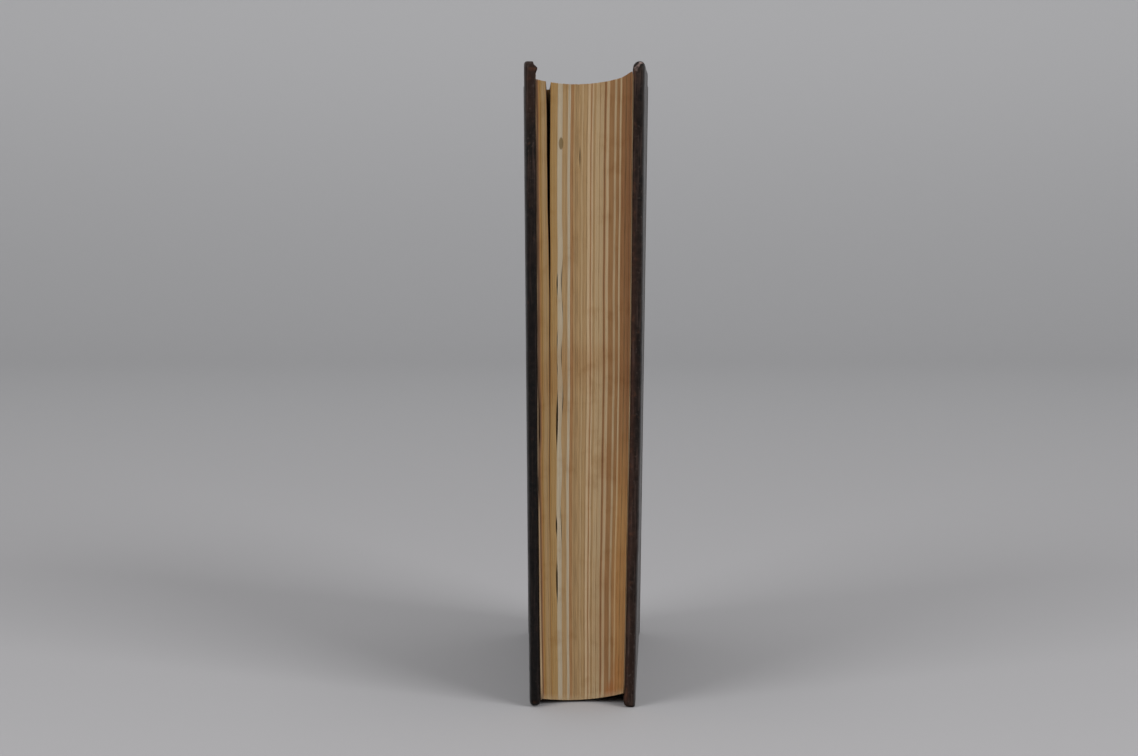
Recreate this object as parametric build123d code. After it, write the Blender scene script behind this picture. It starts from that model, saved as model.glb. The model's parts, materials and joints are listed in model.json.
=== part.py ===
from build123d import *
from math import asin, cos, degrees, radians, sin, tan
import os

# Antique leather-bound book standing on its tail, in millimetres and degrees.
# The fore-edge faces -Y, the front cover is at -X, the back cover at +X and the head is up.
# The origin is the centre of the tail end. Each cover is made flat, its hinge line on the Z axis and
# its outer face on X = 0, and is then stood at its hinge line, leaning and closing in as the old one does.

# Covers
COVER_HEIGHT = 230.0  # tail edge to head edge
COVER_DEPTH = 147.0  # hinge line to fore-edge
HINGE_SPAN = 50.2  # between the two hinge lines, at the head
FRONT_LEAN = 0.42  # outward lean towards the head
BACK_LEAN = 0.74
FRONT_TOE_IN = 0.97  # closing in towards the fore-edge
BACK_TOE_IN = 2.1
BOARD_THICKNESS = 2.5
CORNER_RADIUS = 3.0  # worn corner, seen from the side
OUTER_EDGE_RADIUS = 1.5
INNER_EDGE_RADIUS = 0.9

# Leather and papers
LEATHER_THICKNESS = 0.8
TURN_IN_THICKNESS = 0.6  # pared leather on the inner face of a board
TURN_IN_WIDTH = 15.0
PAPER_THICKNESS = 0.2  # pastedown or free endpaper
LINING_THICKNESS = 0.4
PASTE_GAP = 0.05  # paste line on both faces of a lining

# Joints
RIDGE_RADIUS = 0.8  # leather ridge along each hinge line, about which a cover turns
RIDGE_PROUD = 0.15  # ridge above the outer face of a cover
RIDGE_CLEARANCE = 0.15  # ridge to cover leather
BOARD_SETBACK = 1.8  # hinge line to the back edge of a board
SHOULDER_CLEARANCE = 0.4  # back edge of a board to the shoulder of the text block
LEAF_CLEARANCE = 0.3  # pastedown to free endpaper

# Text block
TEXT_HEIGHT = 221.4
FORE_EDGE_SQUARE = 4.0  # cover overhang at the fore-edge
FORE_EDGE_HOLLOW = 5.5
SECTION_COUNT = 26  # folded sections, each a low ridge on the fore-edge
SECTION_BULGE = 0.22
SECTION_EDGE_SHARE = 0.25  # sloping part at each side of a section's ridge
SAG_MIDDLE = 3.4  # drop of the fore-edge at the middle of the thickness
SAG_FRONT = 1.8  # drop at the front cover, none at the back cover
SPINE_DROP = 3.0  # drop of the leaves at the rounded back
SPLIT_SHARE = 0.125  # split between the first leaves and the rest, as a share of the thickness
SPLIT_WIDTH = 1.8  # at the head of the fore-edge
SPLIT_LENGTH = 115.0  # head to the closed end of the split
SPLIT_END_WIDTH = 0.15
SPLIT_HINGE_DISTANCE = 8.0  # closed depth of the split to the hinge lines
SPLIT_BACK_SHARE = 0.5  # width at the closed depth, as a share of the mouth's

# Spine
SPINE_ROUND = 9.0  # rise of the rounded back behind the hinge lines
SPINE_FACETS = 16  # flat strips round the back
SHOULDER_REACH = 0.97  # back of the sections, as a share of the arc to the hinge line
CORD_COUNT = 5
CORD_RADIUS = 2.0
ROLL_SIDES = 8  # facets round a cord or a raised band
CORD_END_REACH = 0.3  # end of a cord past the side of the leaves
CORD_END_PROUD = 0.3  # height of a cord's end above the back of the sections
BAND_HEIGHT = 2.2  # leather over a cord, above the leather between cords
TAIL_PANEL_EXTRA = 8.0  # the lowest panel of the spine is taller than the rest
CAP_TURN_IN = 12.0  # leather folded inside the spine at head and tail
CAP_BEVEL = 0.3
HEAD_WEAR_MIDDLE = 9.0  # leather worn off the head of the spine
HEAD_WEAR_ENDS = 6.0  # the same beside the covers
LINING_REACH = 0.95
LINING_CORD_GAP = 0.3
CUT_MARGIN = 1.0  # cutting solids run past what they cut

# Derived sizes
SIDES = {"front": -1, "back": 1}
LEAN = {"front": FRONT_LEAN, "back": BACK_LEAN}
TOE_IN = {"front": FRONT_TOE_IN, "back": BACK_TOE_IN}
cover_thickness = LEATHER_THICKNESS + BOARD_THICKNESS + TURN_IN_THICKNESS
cover_start = RIDGE_RADIUS + RIDGE_CLEARANCE
ridge_inset = RIDGE_RADIUS - RIDGE_PROUD
shoulder_depth = BOARD_SETBACK - SHOULDER_CLEARANCE
text_inset = cover_thickness + PAPER_THICKNESS + LEAF_CLEARANCE + PAPER_THICKNESS
text_depth = COVER_DEPTH - FORE_EDGE_SQUARE
square = (COVER_HEIGHT - TEXT_HEIGHT) / 2
text_tail = square
text_head = COVER_HEIGHT - square
back_inset = LEATHER_THICKNESS + LINING_THICKNESS + 2 * PASTE_GAP
hinge_y = (COVER_DEPTH * cos(radians(TOE_IN["front"])) - SPINE_ROUND - BAND_HEIGHT) / 2


def hinge_x(side, z):
    """Distance of a hinge line from the middle plane at height z."""
    return HINGE_SPAN / 2 - (COVER_HEIGHT - z) * tan(radians(LEAN[side]))


def side_point(side, inset, depth, z):
    """Point at height z, inset from a cover's outer face and depth forward of its hinge line."""
    turn = SIDES[side]
    toe = radians(TOE_IN[side])
    x = hinge_x(side, z) - depth * sin(toe) - inset * cos(toe)
    return Vector(turn * x, hinge_y - depth * cos(toe) + inset * sin(toe), z)


def spine_arc(z):
    """Half chord and radius of the rounded back at height z."""
    half_chord = (hinge_x("front", z) + hinge_x("back", z)) / 2
    return half_chord, (half_chord**2 + SPINE_ROUND**2) / (2 * SPINE_ROUND)


def spine_point(z, inset, share):
    """Point on the rounded back: share -1 is at the front hinge line, 0 the middle, 1 the back one."""
    half_chord, radius = spine_arc(z)
    angle = share * asin(half_chord / radius)
    middle_x = (hinge_x("back", z) - hinge_x("front", z)) / 2
    middle_y = hinge_y + SPINE_ROUND - radius
    return Vector(middle_x + (radius - inset) * sin(angle), middle_y + (radius - inset) * cos(angle), z)


def spine_points(z, inset, reach):
    """Corners of the faceted back, from the front side to the back side."""
    even = [2 * index / SPINE_FACETS - 1 for index in range(SPINE_FACETS + 1)]
    shares = [-reach, *(share for share in even if abs(share) < reach), reach]
    return [spine_point(z, inset, share) for share in shares]


def lines_through(points):
    return [Line(start, end) for start, end in zip(points, points[1:])]


def full_height_loft(outline):
    """Solid ruled from the outline at the tail to the same outline at the head."""
    return loft([Face(Wire(outline(z))) for z in (0, COVER_HEIGHT)], ruled=True)


def slab(bottom, top):
    """Wide block between two heights."""
    reach = 2 * COVER_DEPTH
    return Pos(0, 0, (bottom + top) / 2) * Box(reach, reach, top - bottom)


def roll(path, radius):
    """Faceted roll along a level arc that runs from the front hinge line to the back one."""
    section = Plane(path @ 0, x_dir=(0, 0, 1), z_dir=path % 0) * RegularPolygon(radius, ROLL_SIDES)
    return revolve(section, Axis(path.arc_center, (0, 0, -1)), degrees(path.length / path.radius))


def cord_heights():
    """Heights of the cords, which divide the spine into panels with a taller one at the tail."""
    panel = (COVER_HEIGHT - TAIL_PANEL_EXTRA) / (CORD_COUNT + 1)
    return [TAIL_PANEL_EXTRA + panel * (index + 1) for index in range(CORD_COUNT)]


def spine_section(z, outer, inner, outer_reach, inner_reach):
    """Level section of a shell between two insets of the rounded back, each with its own reach."""
    outside = spine_points(z, outer, outer_reach)
    inside = spine_points(z, inner, inner_reach)
    return Face(Wire.make_polygon([*outside, *reversed(inside)]))


def spine_shell(outer, inner, reach):
    return loft([spine_section(z, outer, inner, reach, reach) for z in (0, COVER_HEIGHT)], ruled=True)


# Covers, made flat
def flat_block(inner, outer, front, back, bottom, top):
    """Block in a flat cover: two insets from the outer face, two depths from the hinge line, two heights."""
    middle = Pos(-(inner + outer) / 2, -(front + back) / 2, (bottom + top) / 2)
    return middle * Box(inner - outer, front - back, top - bottom)


def round_corners(block, radius):
    """Round the head and tail corners at the fore-edge."""
    return fillet(block.edges().filter_by(Axis.X).group_by(Axis.Y)[0], radius)


def rim(face):
    """Edges of a cover face, without the one beside the joint."""
    return face.edges().sort_by(Axis.Y)[:-1]


def flat_board(back_edge):
    inner = LEATHER_THICKNESS + BOARD_THICKNESS
    front = COVER_DEPTH - LEATHER_THICKNESS
    top = COVER_HEIGHT - LEATHER_THICKNESS
    board = flat_block(inner, LEATHER_THICKNESS, front, back_edge, LEATHER_THICKNESS, top)
    return round_corners(board, CORNER_RADIUS - LEATHER_THICKNESS)


def flat_window(back_edge, inner):
    """Space on the inner face that the turn-ins leave open."""
    outer = LEATHER_THICKNESS + BOARD_THICKNESS
    front = COVER_DEPTH - TURN_IN_WIDTH
    return flat_block(inner, outer, front, back_edge, TURN_IN_WIDTH, COVER_HEIGHT - TURN_IN_WIDTH)


def flat_leather():
    """Skin over the outer face of a board, turned in round its three free edges."""
    past_hinge = -CUT_MARGIN
    past_inside = cover_thickness + CUT_MARGIN
    skin = flat_block(cover_thickness, 0, COVER_DEPTH, cover_start, 0, COVER_HEIGHT)
    skin = round_corners(skin, CORNER_RADIUS)
    skin = fillet(rim(skin.faces().sort_by(Axis.X)[-1]), OUTER_EDGE_RADIUS)
    skin = fillet(rim(skin.faces().sort_by(Axis.X)[0]), INNER_EDGE_RADIUS)
    joint_room = flat_block(
        past_inside, LEATHER_THICKNESS, BOARD_SETBACK, past_hinge, -CUT_MARGIN, COVER_HEIGHT + CUT_MARGIN
    )
    return skin - flat_board(past_hinge) - flat_window(past_hinge, past_inside) - joint_room


def flat_pastedown():
    """Endpaper glued to the inside of a cover: it fills the window and laps over the turn-ins."""
    lap = flat_block(
        cover_thickness + PAPER_THICKNESS, cover_thickness, text_depth, BOARD_SETBACK, text_tail, text_head
    )
    return flat_window(BOARD_SETBACK, cover_thickness) + lap


def stand(side, flat):
    """Stand a flat cover piece at its hinge line."""
    turn = SIDES[side]
    piece = flat if side == "back" else mirror(flat, Plane.YZ)
    foot = Pos(turn * hinge_x(side, 0), hinge_y, 0)
    return foot * Rot(0, turn * LEAN[side], 0) * Rot(0, 0, -turn * TOE_IN[side]) * piece


# Text block and endpapers
def fore_edge_point(z, share):
    """Point on the hollow fore-edge: share 0 is at the back cover, 1 at the front cover."""
    back = side_point("back", text_inset, text_depth, z)
    front = side_point("front", text_inset, text_depth, z)
    hollow = 4 * FORE_EDGE_HOLLOW * share * (1 - share)
    return back + (front - back) * share + Vector(0, hollow, 0)


def section_ridge(z, index):
    """One section's edge, standing a little out of the fore-edge."""
    places = ((0, 0), (SECTION_EDGE_SHARE, SECTION_BULGE), (1 - SECTION_EDGE_SHARE, SECTION_BULGE), (1, 0))
    points = [
        fore_edge_point(z, (index + part) / SECTION_COUNT) - Vector(0, bulge, 0) for part, bulge in places
    ]
    return lines_through(points)


def text_outline(z):
    """Level outline of the sections: rounded back with a shoulder at each side, and hollow fore-edge."""
    folds = spine_points(z, back_inset, SHOULDER_REACH)
    front_side = side_point("front", text_inset, shoulder_depth, z)
    back_side = side_point("back", text_inset, shoulder_depth, z)
    ridges = [line for index in range(SECTION_COUNT) for line in section_ridge(z, index)]
    return [
        *lines_through(folds),
        Line(folds[-1], back_side),
        Line(back_side, fore_edge_point(z, 0)),
        *ridges,
        Line(fore_edge_point(z, 1), front_side),
        Line(front_side, folds[0]),
    ]


def sagging_room():
    """Space between the head and tail faces, straight at the rounded back and sagging at the fore-edge."""
    front_x = fore_edge_point(COVER_HEIGHT, 1).X - CUT_MARGIN
    back_x = fore_edge_point(COVER_HEIGHT, 0).X + CUT_MARGIN
    fore_y = fore_edge_point(0, 0).Y - CUT_MARGIN
    spine_y = hinge_y + SPINE_ROUND
    spine_x = HINGE_SPAN / 2 + CUT_MARGIN

    def sagging_arc(z):
        start = (front_x, fore_y, z - SAG_FRONT)
        middle = ((front_x + back_x) / 2, fore_y, z - SAG_MIDDLE)
        return ThreePointArc(start, middle, (back_x, fore_y, z))

    def closed(tail, head):
        return Face(Wire([tail, Line(tail @ 1, head @ 1), head, Line(head @ 0, tail @ 0)]))

    def dropped_line(z):
        return Line((-spine_x, spine_y, z - SPINE_DROP), (spine_x, spine_y, z - SPINE_DROP))

    fore_edge = closed(sagging_arc(text_tail), sagging_arc(text_head))
    spine = closed(dropped_line(text_tail), dropped_line(text_head))
    return loft([fore_edge, spine], ruled=True)


def leaf_split():
    """Wedge of air between the first leaves and the rest, widest at the head of the fore-edge."""

    def section(z, width):
        middle = fore_edge_point(z, 1 - SPLIT_SHARE)
        mouth = Vector(0, -FORE_EDGE_HOLLOW, 0)
        half = Vector(width / 2, 0, 0)
        back_half = half * SPLIT_BACK_SHARE
        spine_x = spine_point(z, back_inset, 2 * SPLIT_SHARE - 1).X
        end = Vector(spine_x, hinge_y - SPLIT_HINGE_DISTANCE, z)
        corners = [middle + mouth - half, middle + mouth + half, end + back_half, end - back_half]
        return Face(Wire.make_polygon(corners))

    closed_end = section(text_head - SPLIT_LENGTH, SPLIT_END_WIDTH)
    return loft([closed_end, section(COVER_HEIGHT, SPLIT_WIDTH)], ruled=True)


def free_endpaper(side):
    """Loose leaf lying on the side of the text block."""

    def outline(z):
        inner, outer = text_inset, text_inset - PAPER_THICKNESS
        places = ((inner, shoulder_depth), (outer, shoulder_depth), (outer, text_depth), (inner, text_depth))
        corners = [side_point(side, inset, depth, z) for inset, depth in places]
        return Wire.make_polygon(corners).edges()

    return full_height_loft(outline) & sagging_room()


# Spine
def cord_tube(z, radius):
    """Roll over a cord's line: proud at the middle of the back, fading out towards the hinge lines."""
    middle_inset = LEATHER_THICKNESS + CORD_RADIUS - BAND_HEIGHT
    end_inset = back_inset + CORD_RADIUS - CORD_END_PROUD
    half_chord, back_radius = spine_arc(z)
    end_x = half_chord - text_inset + CORD_END_REACH
    end_share = asin(end_x / (back_radius - end_inset)) / asin(half_chord / back_radius)
    front_end = spine_point(z, end_inset, -end_share)
    back_end = spine_point(z, end_inset, end_share)
    path = ThreePointArc(front_end, spine_point(z, middle_inset, 0), back_end)
    return roll(path, radius)


def spine_linings():
    """Linings pasted to the back of the sections, one between each two cords."""
    half_gap = CORD_RADIUS + LINING_CORD_GAP
    stops = [CAP_TURN_IN, *cord_heights(), COVER_HEIGHT - CAP_TURN_IN]
    outer = LEATHER_THICKNESS + PASTE_GAP
    lining = spine_shell(outer, outer + LINING_THICKNESS, LINING_REACH)
    panels = []
    for index, (bottom, top) in enumerate(zip(stops, stops[1:])):
        bottom += half_gap if index > 0 else 0
        top -= half_gap if index < CORD_COUNT else 0
        panels.append(lining & slab(bottom, top))
    return panels


def worn_head():
    """What wear has taken off the head of the spine, most in the middle."""
    reach = HINGE_SPAN / 2 + RIDGE_RADIUS + CUT_MARGIN
    near_y = hinge_y - SPINE_ROUND
    over = COVER_HEIGHT + CUT_MARGIN
    ends_z = COVER_HEIGHT - HEAD_WEAR_ENDS
    middle = (0, near_y, COVER_HEIGHT - HEAD_WEAR_MIDDLE)
    edge = ThreePointArc((-reach, near_y, ends_z), middle, (reach, near_y, ends_z))
    sides = lines_through([(reach, near_y, ends_z), (reach, near_y, over), (-reach, near_y, over), edge @ 0])
    return extrude(Face(Wire([edge, *sides])), 3 * SPINE_ROUND, dir=(0, 1, 0))


def spine_leather(core, cord_tubes):
    """Skin over the back, moulded over the cords, folded in at the tail, worn at the head, with a ridge
    along each joint."""
    past_ends = 1 + CUT_MARGIN / SPINE_ROUND
    under_leather = spine_shell(LEATHER_THICKNESS, back_inset + CUT_MARGIN, past_ends)
    panels = under_leather & slab(CAP_TURN_IN, COVER_HEIGHT - CAP_TURN_IN)
    levels = ((0, CAP_BEVEL), (CAP_BEVEL, 0), (COVER_HEIGHT, 0))
    sections = [spine_section(z, bevel, back_inset - bevel, 1, SHOULDER_REACH) for z, bevel in levels]
    skin = loft(sections, ruled=True)
    for side, turn in SIDES.items():
        ridge = Cylinder(RIDGE_RADIUS, COVER_HEIGHT + 2 * CUT_MARGIN, align=(Align.CENTER, Align.CENTER, Align.MIN))
        foot = Pos(turn * (hinge_x(side, 0) - ridge_inset), hinge_y, 0) * Rot(0, turn * LEAN[side], 0)
        skin += (foot * Pos(0, 0, -CUT_MARGIN) * ridge) & slab(0, COVER_HEIGHT)
    skin -= panels
    skin -= core
    for z, cord in zip(cord_heights(), cord_tubes):
        skin += cord_tube(z, CORD_RADIUS + LEATHER_THICKNESS) - core - under_leather
        skin -= cord
    return skin - worn_head()


core = full_height_loft(text_outline)
cord_tubes = [cord_tube(z, CORD_RADIUS) for z in cord_heights()]
pieces = {
    "text_block": (core & sagging_room()) - leaf_split(),
    "sewing_cords": Compound(children=[tube - core for tube in cord_tubes]),
    "spine_linings": Compound(children=spine_linings()),
    "spine_leather": spine_leather(core, cord_tubes),
}
for side in SIDES:
    pieces[f"{side}_free_endpaper"] = free_endpaper(side)
    pieces[f"{side}_board"] = stand(side, flat_board(BOARD_SETBACK))
    pieces[f"{side}_cover_leather"] = stand(side, flat_leather())
    pieces[f"{side}_pastedown"] = stand(side, flat_pastedown())

os.makedirs("parts", exist_ok=True)
for name, piece in pieces.items():
    export_step(piece, f"parts/{name}.step")
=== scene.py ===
import json
from math import pi, radians

import bmesh
import bpy
import numpy as np
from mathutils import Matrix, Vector, noise


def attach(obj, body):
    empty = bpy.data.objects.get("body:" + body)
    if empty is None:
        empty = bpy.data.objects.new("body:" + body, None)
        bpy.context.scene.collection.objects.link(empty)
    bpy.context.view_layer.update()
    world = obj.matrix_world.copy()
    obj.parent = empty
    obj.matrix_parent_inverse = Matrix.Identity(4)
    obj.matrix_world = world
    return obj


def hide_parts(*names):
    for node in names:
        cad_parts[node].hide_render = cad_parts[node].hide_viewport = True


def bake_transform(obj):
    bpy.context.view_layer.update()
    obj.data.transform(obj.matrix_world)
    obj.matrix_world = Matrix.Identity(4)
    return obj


# Antique leather-bound book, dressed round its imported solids. Sizes are in millimetres until a mesh is made.
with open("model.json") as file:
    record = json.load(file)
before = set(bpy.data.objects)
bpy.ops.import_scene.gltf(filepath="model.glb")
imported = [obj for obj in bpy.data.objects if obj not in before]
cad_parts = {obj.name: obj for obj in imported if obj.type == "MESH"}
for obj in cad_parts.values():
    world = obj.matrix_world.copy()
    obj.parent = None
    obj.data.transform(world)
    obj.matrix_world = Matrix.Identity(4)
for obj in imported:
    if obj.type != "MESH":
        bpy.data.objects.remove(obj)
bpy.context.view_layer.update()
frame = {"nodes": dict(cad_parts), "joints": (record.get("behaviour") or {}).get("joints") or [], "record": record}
random = np.random.default_rng(7)
MM = 0.001

# Sizes shared with the solids
COVER_HEIGHT = 230.0
COVER_DEPTH = 147.0
COVER_THICKNESS = 3.9
COVER_START = 1.2  # hinge line to the cover leather, under the joint strip
BOARD_SETBACK = 1.8  # hinge line to the back edge of a board
OUTER_EDGE_RADIUS = 1.5
INNER_EDGE_RADIUS = 0.9
TURN_IN_WIDTH = 15.0
LEATHER_THICKNESS = 0.8
PAPER_THICKNESS = 0.2
PASTEDOWN_INSET = 4.0  # outer face of a cover to the middle of its pastedown
ENDPAPER_INSET = 4.5  # outer face of a cover to the middle of the free endpaper
TEXT_INSET = 4.6
TEXT_DEPTH = 143.0
TEXT_TAIL = 4.3
TEXT_HEAD = 225.7
SHOULDER_DEPTH = 1.4
SHOULDER_REACH = 0.97
BACK_INSET = 1.3
FORE_EDGE_HOLLOW = 5.5
SAG_MIDDLE = 3.4
SAG_FRONT = 1.8
SPINE_DROP = 3.0
SPLIT_SHARE = 0.125
SPLIT_HINGE_DISTANCE = 8.0
SPLIT_BACK_SHARE = 0.5
SPINE_ROUND = 9.0
BAND_HEIGHT = 2.2
CORD_COUNT = 5
TAIL_PANEL_EXTRA = 8.0
CAP_TURN_IN = 12.0
HEAD_WEAR_MIDDLE = 9.0
HEAD_WEAR_ENDS = 6.0
RIDGE_RADIUS = 0.85
RIDGE_INSET = 0.65  # outer face of a cover to the middle of its ridge

SHEET_SHARE = 0.9  # thickness of a sheet here over that of its solid
SEED_STEPS = (17.3, 5.1, 9.7)  # how far apart two seeds of the noise lie

# Each cover's own axes, from its hinge and its outer face
SIDES = ("front", "back")
joints = {joint["name"]: joint for joint in frame["joints"]}
mounts = {mount["name"]: mount for mount in frame["record"]["mounts"]}
foot, up, out, ahead = {}, {}, {}, {}
for side in SIDES:
    axis = np.array(joints[f"{side}_cover_joint"]["axis"])
    face = mounts[f"{side}_cover_face"]
    up[side] = axis * np.sign(axis[2])
    out[side] = np.array(face["axis"])
    across = np.cross(up[side], out[side])
    ahead[side] = across * -np.sign(across[1])
    foot[side] = np.array(face["pos_m"]) / MM - ahead[side] * COVER_DEPTH / 2 - up[side] * COVER_HEIGHT / 2
hinge_y = foot["front"][1]
panel = (COVER_HEIGHT - TAIL_PANEL_EXTRA) / (CORD_COUNT + 1)
cord_heights = [TAIL_PANEL_EXTRA + panel * (index + 1) for index in range(CORD_COUNT)]


def mix(a, b, share):
    return a + (b - a) * share


def smooth(low, high, value):
    share = np.clip((value - low) / (high - low), 0, 1)
    return share * share * (3 - 2 * share)


def cover_point(side, inset, depth, height):
    """Points inset from a cover's outer face, depth ahead of its hinge line and height above its tail."""
    inset, depth, height = np.broadcast_arrays(inset, depth, height)
    return (
        foot[side]
        + height[..., None] * up[side]
        + depth[..., None] * ahead[side]
        - inset[..., None] * out[side]
    )


def from_edge(depth, height):
    """Distance of points of a cover from its nearest free edge."""
    return np.minimum(np.minimum(COVER_DEPTH - depth, height), COVER_HEIGHT - height)


def spine_point(z, inset, share):
    """Points on the rounded back: share -1 is at the front hinge line, 1 at the back one."""
    z, inset, share = (np.asarray(value, float) for value in np.broadcast_arrays(z, inset, share))
    left = foot["front"][0] + z * up["front"][0] / up["front"][2]
    right = foot["back"][0] + z * up["back"][0] / up["back"][2]
    half = (right - left) / 2
    radius = (half**2 + SPINE_ROUND**2) / (2 * SPINE_ROUND)
    angle = share * np.arcsin(half / radius)
    x = (left + right) / 2 + (radius - inset) * np.sin(angle)
    y = hinge_y + SPINE_ROUND - radius + (radius - inset) * np.cos(angle)
    return np.stack([x, y, z], -1)


def rough(points, height, size, seed):
    """Smooth noise at each point, up to a height either way, with features of about the given size."""
    offset = Vector([seed * step for step in SEED_STEPS])
    values = [noise.noise(Vector(point) / size + offset) for point in points.reshape(-1, 3)]
    return height * np.array(values).reshape(points.shape[:-1])


# Meshes
def numbered(rows, columns):
    return np.arange(rows * columns).reshape(rows, columns)


def cell_quads(index):
    """One quad for each cell of a grid of vertex numbers."""
    corners = [index[:-1, :-1], index[:-1, 1:], index[1:, 1:], index[1:, :-1]]
    return np.stack(corners, -1).reshape(-1, 4).tolist()


def strip_quads(first, second):
    """Quads between two rows of vertex numbers."""
    return [[p, q, s, r] for p, q, r, s in zip(first, first[1:], second, second[1:])]


def store(mesh, layer, values):
    """Keep one number for each point of a mesh."""
    kept = np.asarray(values, np.float32).ravel()
    mesh.attributes.new(layer, "FLOAT", "POINT").data.foreach_set("value", kept)


def make(name, points, faces, facing=None, flat=False, wear=None, colour=None):
    """Mesh object from points in millimetres. Facing is the way that its first face looks."""
    mesh = bpy.data.meshes.new(name)
    mesh.from_pydata((np.asarray(points).reshape(-1, 3) * MM).tolist(), [], faces)
    if wear is not None:
        store(mesh, "wear", wear)
    if colour is not None:
        tint = np.insert(np.asarray(colour, np.float32), 3, 1.0, axis=1)
        mesh.attributes.new("paper", "FLOAT_COLOR", "POINT").data.foreach_set("color", tint.ravel())
    shaped = bmesh.new()
    shaped.from_mesh(mesh)
    shaped.faces.ensure_lookup_table()
    bmesh.ops.recalc_face_normals(shaped, faces=shaped.faces)
    if facing is not None and shaped.faces[0].normal.dot(Vector(facing)) < 0:
        bmesh.ops.reverse_faces(shaped, faces=shaped.faces)
    shaped.to_mesh(mesh)
    shaped.free()
    mesh.polygons.foreach_set("use_smooth", [not flat] * len(mesh.polygons))
    made = bpy.data.objects.new(name, mesh)
    bpy.context.scene.collection.objects.link(made)
    return made


def make_grid(name, points, facing=None, wear=None):
    return make(name, points, cell_quads(numbered(*points.shape[:2])), facing, wear=wear)


def thicken(piece, thickness, offset):
    shell = piece.modifiers.new("thickness", "SOLIDIFY")
    shell.thickness = thickness * MM
    shell.offset = offset


# Materials. A scale counts features in a metre, and a ramp runs between two values of its input
MIX_FIRST, MIX_SECOND, MIX_RESULT = 6, 7, 2  # colour sockets of a mix node
LEATHER_LAYERS = ("wear", "scuff_and_highlight", "edge", "dark")


def colour_of(red, green, blue):
    """Linear colour from screen values of 0 to 255."""
    values = np.array([red, green, blue]) / 255
    return np.where(values <= 0.04045, values / 12.92, ((values + 0.055) / 1.055) ** 2.4)


def rgba(red, green, blue):
    return (*colour_of(red, green, blue), 1.0)


class Look:
    """One node material, with short ways to add its nodes."""

    def __init__(self, name):
        self.material = bpy.data.materials.new(name)
        self.material.use_nodes = True
        self.tree = self.material.node_tree
        self.shader = self.tree.nodes["Principled BSDF"]
        self.place = self.add("TexCoord").outputs["Object"]

    def add(self, kind, inputs=None, **settings):
        node = self.tree.nodes.new("ShaderNode" + kind)
        for key, value in settings.items():
            setattr(node, key, value)
        for key, value in (inputs or {}).items():
            self.put(node.inputs[key], value)
        return node

    def put(self, socket, value):
        if isinstance(value, bpy.types.NodeSocket):
            self.tree.links.new(value, socket)
        else:
            socket.default_value = value

    def scaled(self, x, y, z):
        return self.add("Mapping", {"Vector": self.place, "Scale": (x, y, z)}).outputs["Vector"]

    def noise(self, scale, detail=4.0, vector=None, distortion=0.0):
        inputs = {"Vector": vector or self.place, "Scale": scale, "Detail": detail, "Distortion": distortion}
        return self.add("TexNoise", inputs).outputs["Fac"]

    def cells(self, scale, feature="DISTANCE_TO_EDGE"):
        inputs = {"Vector": self.place, "Scale": scale}
        return self.add("TexVoronoi", inputs, feature=feature).outputs["Distance"]

    def ramp(self, value, low, high, bottom=0.0, top=1.0):
        inputs = {"Value": value, "From Min": low, "From Max": high, "To Min": bottom, "To Max": top}
        return self.add("MapRange", inputs, interpolation_type="SMOOTHSTEP").outputs["Result"]

    def math(self, operation, a, b):
        return self.add("Math", {0: a, 1: b}, operation=operation).outputs["Value"]

    def vector(self, operation, *values, output="Vector"):
        return self.add("VectorMath", dict(enumerate(values)), operation=operation).outputs[output]

    def blend(self, share, a, b, kind="MIX"):
        inputs = {0: share, MIX_FIRST: a, MIX_SECOND: b}
        return self.add("Mix", inputs, data_type="RGBA", blend_type=kind).outputs[MIX_RESULT]

    def tint(self, colour, value, low, high, most, other, kind="MIX"):
        """Colour that goes over to another one, at most so far, where a value rises from low to high."""
        return self.blend(self.ramp(value, low, high, 0.0, most), colour, other, kind)

    def attribute(self, name, output="Fac"):
        return self.add("Attribute", attribute_name=name).outputs[output]

    def bump(self, height, distance, strength=1.0, below=None):
        inputs = {"Height": height, "Distance": distance * MM, "Strength": strength}
        if below is not None:
            inputs["Normal"] = below
        return self.add("Bump", inputs).outputs["Normal"]

    def finish(self, colour, roughness, normal):
        for socket, value in {"Base Color": colour, "Roughness": roughness, "Normal": normal}.items():
            self.put(self.shader.inputs[socket], value)
        return self.material


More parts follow.
